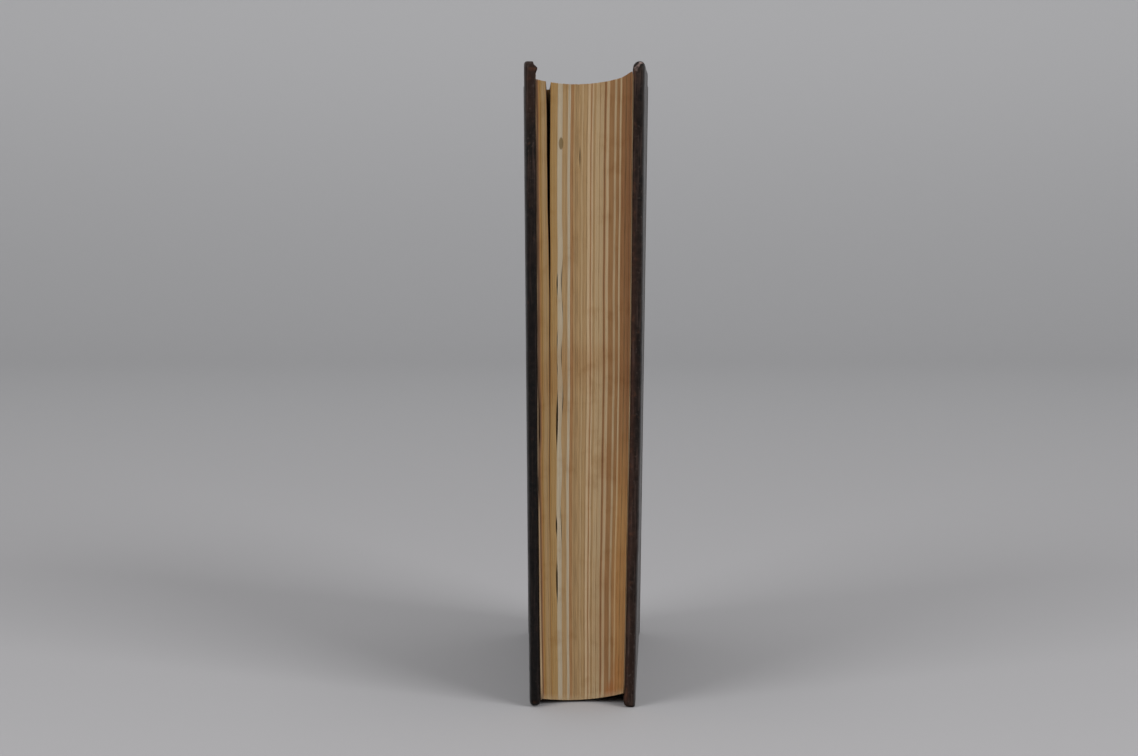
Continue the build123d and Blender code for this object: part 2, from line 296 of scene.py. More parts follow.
def leather_look():
    """Near-black calf with fine pebble grain and creases, rubbed brown where it is worn, with pale scuffs that
    also paint a highlight at the head of the back cover.
    """
    look = Look("antique_leather")
    wear, scuff_and_highlight, edge, dark = (look.attribute(layer) for layer in LEATHER_LAYERS)
    mottle = look.noise(480, 8.0)
    patches = look.noise(26, 4.0)
    colour = look.blend(look.ramp(mottle, 0.36, 0.66), rgba(12, 10, 9), rgba(29, 23, 20))
    colour = look.tint(colour, patches, 0.42, 0.7, 0.5, rgba(46, 29, 22))
    specks = look.noise(1150, 2.0)
    colour = look.tint(colour, specks, 0.58, 0.74, 0.5, rgba(64, 56, 53))
    colour = look.tint(colour, wear, 0.1, 0.5, 0.8, rgba(54, 33, 25))
    strokes = look.noise(1.0, 3.0, look.scaled(1500, 1500, 70))
    strokes = look.math("MULTIPLY", look.ramp(strokes, 0.5, 0.72, 0.0, 0.55), edge)
    colour = look.blend(strokes, colour, rgba(64, 50, 45))
    colour = look.blend(look.math("MULTIPLY", dark, 0.65), colour, rgba(9, 9, 10))
    fray = look.math("MULTIPLY", look.noise(520, 8.0, distortion=0.4), 1.2)
    rubbed = look.ramp(look.math("ADD", wear, fray), 0.85, 1.35, 0.0, 0.85)
    colour = look.blend(rubbed, colour, rgba(74, 48, 34))
    scratches = look.noise(300, 2.0, look.scaled(1.0, 0.08, 1.0))
    colour = look.tint(colour, scratches, 0.69, 0.78, 0.3, rgba(70, 50, 40))
    # painted highlight: the pale scuffs also brighten the head rim and corner of the back cover
    scuffs_and_highlight_mask = look.ramp(look.math("ADD", scuff_and_highlight, fray), 0.85, 1.5, 0.0, 0.8)
    colour = look.blend(scuffs_and_highlight_mask, colour, rgba(128, 110, 105))
    pebbles = look.ramp(look.cells(1250), 0.0, 0.22)
    pores = look.noise(3800, 3.0)
    creases = look.noise(260, 5.0, distortion=1.2)
    relief = look.bump(creases, 0.35, 0.5)
    relief = look.bump(pebbles, 0.07, 0.45, relief)
    relief = look.bump(pores, 0.05, 0.35, relief)
    roughness = look.ramp(look.noise(160, 4.0), 0.3, 0.7, 0.4, 0.58)
    roughness = look.math("ADD", roughness, look.math("MULTIPLY", rubbed, 0.18))
    look.put(look.shader.inputs["Specular IOR Level"], look.ramp(edge, 0.1, 0.9, 0.5, 0.07))
    look.put(look.shader.inputs["Sheen Weight"], look.ramp(edge, 0.1, 0.9, 0.12, 0.0))
    look.put(look.shader.inputs["Sheen Roughness"], 0.4)
    return look.finish(colour, roughness, relief)


def leaf_look():
    """Edges of old rag paper: each leaf's own tone, streaked and mottled, with one crisp stain."""
    look = Look("leaf_edges")
    streaks = look.noise(1.0, 4.0, look.scaled(2600, 900, 7))
    mottle = look.noise(150, 6.0)
    broad = look.noise(34, 3.0)
    colour = look.attribute("paper", "Color")
    spot = leaf_point(SPOT_SHARE, SPOT_HEIGHT, 1.0)
    from_spot = look.vector("SUBTRACT", look.place, tuple(spot * MM))
    from_spot = look.vector("MULTIPLY", from_spot, (1 / (SPOT_ACROSS * MM), 0.0, 1 / (SPOT_UPRIGHT * MM)))
    from_spot = look.vector("LENGTH", from_spot, output="Value")
    colour = look.blend(look.ramp(from_spot, 0.8, 1.15, 0.85, 0.0), colour, rgba(104, 82, 42))
    colour = look.tint(colour, streaks, 0.4, 0.75, 0.2, rgba(192, 170, 134), "MULTIPLY")
    colour = look.tint(colour, mottle, 0.52, 0.78, 0.4, rgba(214, 192, 160), "MULTIPLY")
    colour = look.tint(colour, broad, 0.52, 0.72, 0.35, rgba(222, 192, 150), "MULTIPLY")
    relief = look.bump(streaks, 0.05, 0.5)
    relief = look.bump(look.noise(1500, 4.0), 0.04, 0.5, relief)
    return look.finish(colour, look.ramp(mottle, 0.2, 0.8, 0.8, 0.95), relief)


def paper_look(name, base, stain):
    """Sheet of laid rag paper with fibres, foxing and a browner margin."""
    look = Look(name)
    fibres = look.noise(1.0, 4.0, look.scaled(900, 900, 2600))
    clouds = look.noise(26, 5.0)
    spots = look.cells(150, "F1")
    colour = look.blend(look.ramp(clouds, 0.3, 0.8), base, stain)
    colour = look.blend(look.ramp(spots, 0.05, 0.16, 0.4, 0.0), colour, rgba(134, 92, 52))
    wear = look.attribute("wear")
    colour = look.tint(colour, wear, 0.1, 0.9, 0.8, rgba(112, 78, 48))
    colour = look.tint(colour, wear, 0.65, 1.0, 0.85, rgba(62, 42, 26))
    colour = look.tint(colour, fibres, 0.3, 0.7, 0.25, rgba(200, 188, 168), "MULTIPLY")
    relief = look.bump(clouds, 0.3, 0.4)
    relief = look.bump(fibres, 0.03, 0.5, relief)
    return look.finish(colour, look.ramp(fibres, 0.2, 0.8, 0.82, 0.95), relief)


def board_look():
    """Grey-brown pasteboard pressed from rope fibre."""
    look = Look("pasteboard")
    layers = look.noise(1.0, 4.0, look.scaled(3000, 200, 200))
    flecks = look.noise(800, 5.0)
    colour = look.blend(look.ramp(layers, 0.3, 0.7), rgba(128, 108, 82), rgba(96, 78, 58))
    colour = look.tint(colour, flecks, 0.55, 0.75, 0.5, rgba(70, 54, 40))
    relief = look.bump(look.math("ADD", layers, flecks), 0.08, 0.6)
    return look.finish(colour, look.ramp(flecks, 0.2, 0.8, 0.85, 0.97), relief)


def cord_look():
    """Twisted linen cord."""
    look = Look("cord_thread")
    inputs = {"Vector": look.place, "Scale": 420, "Distortion": 2.0, "Detail": 2.0}
    strands = look.add("TexWave", inputs, bands_direction="DIAGONAL").outputs["Fac"]
    dirt = look.noise(240, 5.0)
    colour = look.blend(strands, rgba(104, 86, 62), rgba(165, 146, 114))
    colour = look.tint(colour, dirt, 0.45, 0.75, 0.6, rgba(92, 70, 48))
    return look.finish(colour, look.ramp(dirt, 0.2, 0.8, 0.8, 0.95), look.bump(strands, 0.15, 0.7))


leather = leather_look()
endpaper = paper_look("endpaper", rgba(188, 168, 134), rgba(166, 140, 104))
lining_paper = paper_look("lining_paper", rgba(158, 142, 116), rgba(130, 108, 80))
pasteboard = board_look()
cord_thread = cord_look()


def paint(piece, material):
    piece.data.materials.clear()
    piece.data.materials.append(material)


def dress(piece, material, body=None, stands_for=()):
    paint(piece, material)
    if body:
        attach(piece, body)
    if stands_for:
        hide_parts(*stands_for)


# Cover leather: outer face, rounded edges and turn-ins on one grid, with these distances from a free edge
EDGE_LINES = np.array(
    [0, 0.05, 0.2, 0.45, 0.8, 1.2, 1.7, 2.3, 3.0, 3.8, 4.8, 6.0, 7.5, 9.5, 12.0, TURN_IN_WIDTH]
)
FACE_STEP = 5.0
HEIGHT_STEP = 2.0
EDGE_ROWS = np.arange(1, 10) / 10  # rows between the two rounded edges
LONG, MEDIUM, SHORT = 70.0, 7.0, 3.5  # reach of a worn place back from the fore-edge
# Rounding of the inner edge and of the outer edge at each end, and of the corner seen from the side
ROUNDINGS = {
    "front_head": (0.4, 0.9, 2.6), "back_head": (2.3, 1.5, 2.6),
    "front_tail": (1.3, 1.5, 3.0), "back_tail": (1.7, 0.7, 1.2),
}
# Worn corners. Each place is an inset, a distance from the head or tail, the reach in each of these and back
# from the fore-edge, and how far the leather is pushed inwards and out past the end
CORNER_BUMPS = {
    "front_head": (
        (3.9, 2.4, 1.2, 1.5, SHORT, 0.8, 0.0), (1.2, 0.0, 1.5, 1.0, SHORT, 0.0, 0.25),
        (3.9, 6.4, 1.5, 2.2, SHORT, -0.2, 0.0),
    ),
    "back_head": ((3.9, 2.9, 1.2, 2.0, SHORT, 0.3, 0.0), (2.0, 0.0, 1.5, 1.2, SHORT, 0.0, 0.15)),
    "front_tail": (
        (2.0, 0.0, 3.5, 2.2, MEDIUM, 0.0, -0.5), (3.9, 60.0, 0.9, 60.0, MEDIUM, -0.5, 0.0),
    ),
    "back_tail": (
        (3.9, 2.8, 1.2, 1.8, MEDIUM, 0.35, 0.0), (3.9, 90.0, 0.9, 75.0, MEDIUM, -0.15, 0.0),
        (0.0, 115.0, 6.0, 75.0, LONG, -0.62, 0.0),
    ),
}
# At the head of the front cover the turned-in leather has slipped down to a shelf
SHELF_START, SHELF_END = 3.1, 3.45  # insets between which it drops
SHELF_DROP = 1.2
# Brown rubbing at the corners, with the same places and a strength
CORNER_RUBS = {
    "front_head": ((2.6, 2.7, 1.3, 0.5, SHORT, 0.4), (1.6, 5.6, 1.2, 1.2, SHORT, 0.2)),
    "back_head": ((3.9, 5.0, 0.8, 2.0, SHORT, 0.3),),
    "front_tail": ((2.0, 1.6, 1.2, 1.0, SHORT, 0.3),),
    "back_tail": ((3.2, 4.6, 0.6, 2.4, SHORT, 0.3), (3.6, 110.0, 1.8, 120.0, SHORT, 0.22)),
}
# Rubbing along the free edges and along the joint, each with the distance over which it fades
EDGE_RUB, EDGE_FADE = 0.12, 3.0
JOINT_RUB, JOINT_FADE = 0.1, 2.0
# Unevenness near the edges: its height, the size of its features, seed and reach
UNEVEN = ((0.1, 9.0, 3, 6.0), (0.1, 3.2, 4, 2.5))
# Heights between which the fore-edge of the front cover goes from brown to black
DARK_LOW, DARK_HIGH = 150.0, 205.0
RIM_WIDTH = 0.9  # shiny part of an outer edge
# Pale scuffs slanting over the head of the back cover, partly a painted highlight along its rim and corner: start
# and end as inset and drop, width and strength
SCUFFS_AND_HIGHLIGHTS = (
    (3.6, 2.6, 1.7, 0.7, 0.45, 0.55), (3.0, 3.2, 2.0, 1.7, 0.3, 0.45), (1.7, 0.5, 0.4, 0.7, 0.4, 0.6),
    (2.6, 3.0, 2.4, 8.0, 0.22, 0.3), (1.3, 2.0, 1.1, 9.0, 0.22, 0.3), (0.5, 1.6, 0.4, 7.0, 0.2, 0.25),
)
TINY = 1e-6


def nearness(end, place, inset, depth, height):
    """How close points of a cover are to a place at its head or tail, from 0 to 1."""
    middle, drop, wide, tall, deep = place
    from_end = COVER_HEIGHT - height if end == "head" else height
    apart = ((inset - middle) / wide) ** 2 + ((from_end - drop) / tall) ** 2
    return np.exp(-apart - ((COVER_DEPTH - depth) / deep) ** 2)


def pushed(side, inset, depth, height):
    """How far a cover's leather is pushed inwards and upwards at points of the plain cover."""
    inwards, upwards = 0.0, 0.0
    for end, past_end in (("head", 1), ("tail", -1)):
        for *place, inward, outward in CORNER_BUMPS[f"{side}_{end}"]:
            share = nearness(end, place, inset, depth, height)
            inwards = inwards + inward * share
            upwards = upwards + past_end * outward * share
    return inwards, upwards


def face_lines(low, high, step):
    return np.linspace(low, high, int((high - low) / step) + 2)[1:-1]


def rounded_faces(side):
    """Outer and inner face of a cover's leather, as grids of inset, depth and height with rounded corners."""
    plain_depths = face_lines(BOARD_SETBACK, COVER_DEPTH - TURN_IN_WIDTH, FACE_STEP)
    depths = np.concatenate([[COVER_START, BOARD_SETBACK], plain_depths, COVER_DEPTH - EDGE_LINES[::-1]])
    plain_heights = face_lines(TURN_IN_WIDTH, COVER_HEIGHT - TURN_IN_WIDTH, HEIGHT_STEP)
    heights = np.concatenate([EDGE_LINES, plain_heights, COVER_HEIGHT - EDGE_LINES[::-1]])
    depth, height = np.meshgrid(depths, heights)
    low_half = height < COVER_HEIGHT / 2
    of_ends = zip(ROUNDINGS[f"{side}_tail"], ROUNDINGS[f"{side}_head"])
    inner_round, outer_round, corner = (np.where(low_half, tail, head) for tail, head in of_ends)
    from_end = np.minimum(height, COVER_HEIGHT - height)
    a = np.clip(1 - (COVER_DEPTH - depth) / corner, 0, 1)
    b = np.clip(1 - from_end / corner, 0, 1)
    round_a, round_b = a * np.sqrt(1 - b * b / 2), b * np.sqrt(1 - a * a / 2)
    in_corner = (a > 0) & (b > 0)
    depth = np.where(in_corner, COVER_DEPTH - corner * (1 - round_a), depth)
    near_end = np.where(in_corner, corner * (1 - round_b), from_end)
    height = np.where(low_half, near_end, COVER_HEIGHT - near_end)
    corner_gap = corner * (1 - np.hypot(round_a, round_b))
    gap = np.where(in_corner, corner_gap, np.minimum(COVER_DEPTH - depth, near_end))
    by_end = (near_end < COVER_DEPTH - depth).astype(float)
    by_end = np.where(in_corner, b / np.maximum(a + b, TINY), by_end)

    def rounded(side_radius, end_radius):
        radius = mix(side_radius, end_radius, by_end)
        return radius - np.sqrt(np.maximum(radius**2 - np.clip(radius - gap, 0, radius) ** 2, 0))

    outer_inset = rounded(OUTER_EDGE_RADIUS, outer_round)
    inner_inset = COVER_THICKNESS - rounded(INNER_EDGE_RADIUS, inner_round)
    return [np.stack([inset, depth, height], -1) for inset in (outer_inset, inner_inset)]


def wrapped_skin(outer, inner):
    """Points and faces of the outer face, of the rows round the free edges and of the turn-ins."""
    rows, columns = outer.shape[:2]
    index = numbered(rows, columns)
    points = [outer.reshape(-1, 3)]
    faces = cell_quads(index)
    last = columns - 1
    border = [(0, i) for i in range(1, last)] + [(j, last) for j in range(rows)]
    border += [(rows - 1, i) for i in range(last - 1, 0, -1)]
    rim = tuple(np.array(border).T)
    count = rows * columns
    previous = index[rim].tolist()
    for share in EDGE_ROWS:
        points.append(mix(outer[rim], inner[rim], share))
        current = list(range(count, count + len(border)))
        faces += strip_quads(previous, current)
        previous, count = current, count + len(border)
    turn_in = len(EDGE_LINES)
    ring = np.zeros((rows, columns), bool)
    ring[:turn_in, 1:] = ring[-turn_in:, 1:] = ring[:, -turn_in:] = True
    inner_index = np.full((rows, columns), -1)
    inner_index[ring] = count + np.arange(ring.sum())
    points.append(inner[ring])
    faces += strip_quads(previous, inner_index[rim].tolist())
    faces += [quad[:1] + quad[:0:-1] for quad in cell_quads(inner_index) if min(quad) >= 0]
    return np.concatenate(points), faces


def scuffed_and_highlighted(inset, depth, height):
    """How pale the scuffs and the painted highlight make points of the back cover."""
    spot = np.stack([inset, COVER_HEIGHT - height], -1)
    scuff_and_highlight = np.zeros(len(spot))
    for *ends, width, strength in SCUFFS_AND_HIGHLIGHTS:
        start, end = np.array(ends).reshape(2, 2)
        line, way = end - start, spot - start
        along = np.clip(way @ line / (line @ line), 0, 1)
        apart = np.linalg.norm(way - along[:, None] * line, axis=1)
        scuff_and_highlight += strength * np.exp(-((apart / width) ** 2) - ((COVER_DEPTH - depth) / SHORT) ** 2)
    return scuff_and_highlight


def cover_leather(side):
    """Skin over a board: a sheet that wraps its three free edges, pushed into lumps at the corners."""
    local, faces = wrapped_skin(*rounded_faces(side))
    inset, depth, height = local.T
    piece = make(f"{side}_leather", cover_point(side, inset, depth, height), faces, out[side])
    normals = np.zeros(len(local) * 3)
    piece.data.vertices.foreach_get("normal", normals)
    edge_gap = np.maximum(from_edge(depth, height), 0)
    push = np.zeros(len(local))
    for *lumps, reach in UNEVEN:
        push += rough(local, *lumps) * np.exp(-edge_gap / reach)
    inwards, upwards = pushed(side, inset, depth, height)
    moved = local + np.stack([inwards, 0 * inwards, upwards], -1)
    if side == "front":
        squeezed = np.clip(1 - (COVER_HEIGHT - height) / (2 * SHELF_DROP), 0, 1)
        moved[:, 2] -= SHELF_DROP * squeezed * smooth(SHELF_START, SHELF_END, inset)
    placed = cover_point(side, *moved.T) + normals.reshape(-1, 3) * push[:, None]
    placed[:, 2] = np.maximum(placed[:, 2], 0)
    piece.data.vertices.foreach_set("co", (placed * MM).ravel())
    edge = np.exp(-edge_gap / EDGE_FADE)
    wear = EDGE_RUB * edge + JOINT_RUB * np.exp(-(depth - COVER_START) / JOINT_FADE)
    for end in ("head", "tail"):
        for *place, strength in CORNER_RUBS[f"{side}_{end}"]:
            wear += strength * nearness(end, place, inset, depth, height)
    # pale scuffs on the back cover, partly a painted highlight at its head
    scuff_and_highlight = scuffed_and_highlighted(inset, depth, height) * (side == "back")
    dull = edge * smooth(0.0, RIM_WIDTH, inset)
    dark = edge * smooth(DARK_HIGH, DARK_LOW, height) * (side == "front")
    for layer, values in zip(LEATHER_LAYERS, (wear, scuff_and_highlight, dull, dark)):
        store(piece.data, layer, np.clip(values, 0, 1))
    thicken(piece, LEATHER_THICKNESS * SHEET_SHARE, -1)
    dress(piece, leather, f"{side}_cover", [f"{side}_cover_leather"])


for side in SIDES:
    cover_leather(side)


# Leaves: blocks of thin leaves with their own edges, between the two covers
PAPERS = {
    "golden": (152, 121, 74),
    "ochre": (147, 111, 60),
    "tan": (153, 125, 86),
    "sand": (166, 142, 107),
    "brown": (143, 106, 66),
    "russet": (143, 101, 61),
    # umber is partly painted shade: its dark leaves stand for the shade in the gaps beside the front cover and at
    # the split
    "umber_and_shade": (104, 74, 48),
    "pale": (174, 150, 117),
    "cream": (167, 153, 130),
}
# Stripes from the front cover to the back one: paper and number of leaves
# the umber leaves at either end of the front stripes are painted shade for the gaps beside them
FRONT_STRIPES = (
    ("umber_and_shade", 3), ("russet", 2), ("ochre", 4), ("golden", 2), ("tan", 8), ("golden", 2), ("umber_and_shade", 1),
)
MIDDLE_STRIPES = (
    ("ochre", 3), ("golden", 13), ("cream", 11), ("tan", 12), ("cream", 6), ("brown", 7), ("tan", 19),
    ("sand", 2), ("tan", 11), ("pale", 6), ("brown", 3), ("pale", 4), ("tan", 5), ("sand", 8), ("tan", 2),
    ("sand", 8), ("brown", 2),
)
BACK_STRIPES = (
    ("umber_and_shade", 1), ("russet", 2), ("sand", 2), ("pale", 5), ("brown", 11), ("sand", 1), ("pale", 3),
    ("sand", 1), ("brown", 7), ("pale", 3), ("sand", 1), ("russet", 8), ("brown", 4), ("russet", 6),
    ("umber_and_shade", 1), ("russet", 4),
)
front_count, middle_count, back_count = (
    sum(count for _, count in stripes) for stripes in (FRONT_STRIPES, MIDDLE_STRIPES, BACK_STRIPES)
)
leaf_count = front_count + middle_count + back_count
TONE, TONE_SPREAD = 0.97, 0.04  # of single leaves, over their paper
GROOVE_SHADE = 0.1  # painted shade: how much darker the groove between two leaves is drawn
TAIL_PAINTED_LIGHT = 0.5  # painted light from the floor: how far the tail edges go over to pale paper
HEIGHT_ROWS = 96
DEPTH_ROWS = 12
FOLD_SHARE = 0.05  # part of a leaf's run that lies in the shoulder
FRONT_RUN = 0.9  # run from which slits and stains show
# Each leaf has its two sides and the floor of the groove behind it
STATIONS = (0.06, 0.8, 0.93)
GROOVED = (0.0, 0.0, 1.0)
GROOVE, SECTION_GROOVE = 0.07, 0.05  # between leaves, and more between sections
END_GROOVE = 0.7  # the most at head and tail
LEAVES_PER_SECTION = 8
SECTION_BULGE = 0.1
SECTION_SEED = 11
# How far sections, fore-edges and ends stray from their line
SECTION_DRIFT, FORE_DRIFT, END_DRIFT = 0.05, 0.04, 0.06
RIPPLE, RIPPLE_LENGTH, RIPPLE_SHIFT = 0.03, 3.1, 1.7
# Share from which the last leaves stand higher at the head, and by how much
RISE_START, HEAD_RISE = 0.87, 0.9
# Places where neighbouring leaves part: leaf, low and high end, width
SLITS = (
    (37, 150.0, 159.0, 0.5), (37, 93.0, 118.0, 0.75), (37, 63.0, 72.0, 0.55), (37, 38.0, 57.0, 0.65),
    (37, 130.0, 138.0, 0.3), (37, 121.0, 128.0, 0.25), (48, 150.0, 163.0, 0.25), (48, 142.0, 149.0, 0.2),
    (48, 124.0, 134.0, 0.2), (48, 106.0, 119.0, 0.25), (48, 60.0, 76.0, 0.2), (88, 196.0, 204.0, 0.4),
)
SLIT_DEPTH = 5.0
SLIT_TAPER = 0.4  # part of a slit's length over which each end closes
SLIT_SPREAD = 4.0  # leaves over which a slit's sides settle back
# Stains: share from the front, height, half width as a share, half height, strength, colour
STAINS = (
    (0.39, 166.0, 0.005, 2.6, 0.7, (112, 74, 46)),
    (0.85, 6.0, 0.07, 4.0, 0.8, (150, 92, 42)), (0.93, 12.0, 0.07, 7.0, 0.6, (150, 94, 46)),
    (0.94, 45.0, 0.09, 50.0, 0.45, (190, 146, 86)), (0.98, 190.0, 0.07, 75.0, 0.3, (112, 70, 42)),
)
SPOT_SHARE, SPOT_HEIGHT = 0.254, 201.3  # place of the one crisp stain
SPOT_ACROSS, SPOT_UPRIGHT = 0.8, 2.2  # half of its size
THICKNESS = 34.0  # of the leaves at the fore-edge
FORE_INSET = 4.3  # outer face of a cover to the leaves, where they swell at the fore-edge
FREE_LEAF_INSET = 4.19  # outer face of a cover to the free leaf there
# Leaves stand off the front cover at a place below the middle, and again towards the tail
GAP_HEIGHTS = (0.0, 8.0, 20.0, 70.0, 84.0, 93.0, 99.0, 110.0, 118.0)
GAP_WIDTHS = (0.6, 0.6, 0.5, 0.35, 0.05, 0.05, 0.45, 0.4, 0.0)
# The split between the first leaves and the rest, at the fore-edge
SPLIT_HEIGHTS = (50.0, 80.0, 100.0, 150.0, 180.0, 216.0, 230.0)
SPLIT_WIDTHS = (0.0, 0.12, 0.18, 0.38, 0.88, 1.35, 1.85)
# Sideways waves: width, length, turn from the first leaf to the last, start
WAVES = ((0.09, 118, 0.4, 0.0), (0.05, 53, -0.5, 0.3), (0.02, 21, 2.0, 0.0))
HELD = 9.0  # how fast the waves grow away from the covers
# Pale leaves that are wavier than the rest: where they lie, their waves, and the heights these fill
COCKLED_SHARE, COCKLED_SPREAD = 0.25, 0.035
COCKLE_WIDTH, COCKLE_LENGTH = 0.3, 27
COCKLE_FOOT, COCKLE_TOP = (50.0, 90.0), (200.0, 150.0)


def left_gap(z):
    return np.interp(z, GAP_HEIGHTS, GAP_WIDTHS) / THICKNESS


def split_at(z, run):
    """Half of the split as a share, narrower towards the back and closed near the hinge."""
    closed_run = SPLIT_HINGE_DISTANCE / TEXT_DEPTH
    forward = np.clip((run - closed_run) / (1 - closed_run), 0, 1)
    half = np.interp(z, SPLIT_HEIGHTS, SPLIT_WIDTHS) / 2 / THICKNESS
    return half * mix(SPLIT_BACK_SHARE, 1.0, forward) * (run > closed_run)


def leaf_point(share, z, run):
    """Point of a leaf: share is 0 at the front cover and 1 at the back, run 0 at the fold and 1 in front."""
    share, z, run = np.broadcast_arrays(share, z, run)

    def between(depth, front_inset, back_inset):
        front, back = cover_point("front", front_inset, depth, z), cover_point("back", back_inset, depth, z)
        return mix(front, back, share[..., None])

    insets = [FORE_INSET + pushed(side, COVER_THICKNESS, TEXT_DEPTH, z)[0] for side in SIDES]
    fore = between(TEXT_DEPTH, *insets)
    fore[..., 1] += 4 * FORE_EDGE_HOLLOW * share * (1 - share)
    shoulder = between(SHOULDER_DEPTH, TEXT_INSET, TEXT_INSET)
    fold = spine_point(z, BACK_INSET, SHOULDER_REACH * (2 * share - 1))
    run = run[..., None]
    flat_part = mix(shoulder, fore, np.clip((run - FOLD_SHARE) / (1 - FOLD_SHARE), 0, 1))
    fold_part = mix(fold, shoulder, np.clip(run / FOLD_SHARE, 0, 1))
    return np.where(run > FOLD_SHARE, flat_part, fold_part)


def waves(share, z):
    """Sideways wander of the leaves along their height, none at the covers."""
    held = np.minimum(1, HELD * share * (1 - share))
    slow = 0.0
    for width, length, turn, start in WAVES:
        slow = slow + width * np.sin(2 * pi * (z / length + turn * share + start))
    cockled = COCKLE_WIDTH * np.exp(-(((share - COCKLED_SHARE) / COCKLED_SPREAD) ** 2))
    cockled = cockled * smooth(*COCKLE_FOOT, z) * smooth(*COCKLE_TOP, z)
    return held * slow + cockled * np.sin(2 * pi * z / COCKLE_LENGTH)


def sag(share):
    from_back = 1 - share
    return (4 * SAG_MIDDLE - SAG_FRONT) * from_back - (4 * SAG_MIDDLE - 2 * SAG_FRONT) * from_back**2


def drop(share, y):
    """How far a leaf's ends hang: the sag at the fore-edge, going over to an even drop at the back."""
    forward = (hinge_y + SPINE_ROUND - y) / (SPINE_ROUND + TEXT_DEPTH)
    return mix(SPINE_DROP, sag(share), np.clip(forward, 0, 1))


def leaf_block(name, first, stripes, low_share, high_share):
    """Closed block of leaves. The two functions give its range of shares at a height and a run."""
    papers = np.array([colour_of(*PAPERS[paper]) for paper, count in stripes for _ in range(count)])
    count = len(papers)
    each = len(STATIONS)
    leaf = np.repeat(np.arange(count), each)
    spot = np.tile(STATIONS, count)
    grooved = np.tile(GROOVED, count)
    fore_drift = np.repeat(random.normal(0, FORE_DRIFT, count), each)
    end_drift = np.repeat(random.normal(0, END_DRIFT, count), each)
    tone = np.repeat(TONE + random.normal(0, TONE_SPREAD, count), each)
    section, in_section = np.divmod(leaf + first, LEAVES_PER_SECTION)
    section_drift = np.random.default_rng(SECTION_SEED).normal(0, SECTION_DRIFT, leaf_count)[section]
    across = (in_section + spot) / LEAVES_PER_SECTION
    bulge = SECTION_BULGE * (1 - (2 * across - 1) ** 2) + section_drift
    groove = grooved * GROOVE + (in_section == LEAVES_PER_SECTION - 1) * grooved * SECTION_GROOVE
    up_rows = np.arange(HEIGHT_ROWS + 1) / HEIGHT_ROWS
    in_rows = np.arange(DEPTH_ROWS + 1) / DEPTH_ROWS
    ring = [(1.0, v) for v in up_rows] + [(u, 1.0) for u in in_rows[-2::-1]]
    ring += [(0.0, 1 - v) for v in up_rows[1:]] + [(u, 0.0) for u in in_rows[1:-1]]

    def place(station, run, level):
        """Points of some stations at the given runs and levels, with grooves, slits, waves and sag."""
        inner = (run > 0) & (run < 1) & (level > 0) & (level < 1)
        in_front = run > FRONT_RUN
        z = mix(TEXT_TAIL, TEXT_HEAD, level)
        nominal = (leaf[station] + spot[station]) / count
        share = mix(low_share(z, run), high_share(z, run), nominal)
        ditch = np.where(inner, 0, groove[station])
        side = 0.0
        for number, low, high, width in SLITS:
            opened = smooth(low, mix(low, high, SLIT_TAPER), z) * in_front
            opened = opened * smooth(high, mix(low, high, 1 - SLIT_TAPER), z)
            apart = leaf[station] + first - number
            floor = (apart == 0) * grooved[station]
            ditch = ditch + SLIT_DEPTH * opened * floor * ~inner
            way = np.where(apart > 0, 1, -1) * (1 - floor)
            side = side + way * width / 2 * np.exp(-np.abs(apart) / SLIT_SPREAD) * opened
        point = leaf_point(share, z, run)
        point[..., 0] += (waves(share, z) + side) * run**2
        ripple = RIPPLE * np.sin(z / RIPPLE_LENGTH + leaf[station] ** 2 * RIPPLE_SHIFT)
        point[..., 1] += (run == 1) * (ditch - bulge[station] + fore_drift[station] + ripple)
        point[..., 2] += HEAD_RISE * smooth(RISE_START, 1.0, share) * run * (level == 1)
        inwards = np.select([level == 0, level == 1], [1.0, -1.0])
        point[..., 2] += inwards * (np.minimum(ditch, END_GROOVE) + np.abs(end_drift[station]))
        point[..., 2] -= drop(share, point[..., 1])
        # each leaf's own tone, times painted shade on the floor of the groove behind it
        tone_and_groove_shade = tone[station] * (1 - GROOVE_SHADE * grooved[station])
        colour = papers[leaf[station]] * tone_and_groove_shade[..., None]
        for middle, height, half_share, half_height, strength, stain in STAINS:
            apart = ((share - middle) / half_share) ** 2 + ((z - height) / half_height) ** 2
            stained = strength * np.exp(-(apart**2)) * in_front
            colour = mix(colour, colour_of(*stain), stained[..., None])
        # painted light: the downward tail faces are drawn paler, as where floor light catches them
        colour = mix(colour, colour_of(*PAPERS["pale"]), TAIL_PAINTED_LIGHT * (level == 0)[..., None])
        return point, colour

    stations = each * count
    index = numbered(stations, len(ring))
    station, _ = np.indices(index.shape)
    rings, colours = place(station, *np.array(ring).T)
    points, tones = [rings.reshape(-1, 3)], [colours.reshape(-1, 3)]
    faces = cell_quads(np.concatenate([index, index[:, :1]], 1))
    total = index.size
    cells = [(u, v) for v in up_rows for u in in_rows]
    inside = [cell for cell in cells if cell not in ring]
    for end in (0, stations - 1):
        number = {cell: index[end, at] for at, cell in enumerate(ring)}
        number.update({cell: total + at for at, cell in enumerate(inside)})
        total += len(inside)
        added, added_tones = place(np.full(len(inside), end), *np.array(inside).T)
        points.append(added)
        tones.append(added_tones)
        faces += cell_quads(np.array([number[cell] for cell in cells]).reshape(len(up_rows), len(in_rows)))
    block = make(name, np.concatenate(points), faces, flat=True, colour=np.concatenate(tones))
    dress(block, leaf_edges, "book_block", ["text_block"])


def main_share(nominal):
    """Share of a place among the leaves behind the split, which the open split pushes back a little."""
    behind = (nominal - SPLIT_SHARE) / (1 - SPLIT_SHARE)
    return lambda z, run: mix(SPLIT_SHARE + split_at(z, run), 1.0, behind)


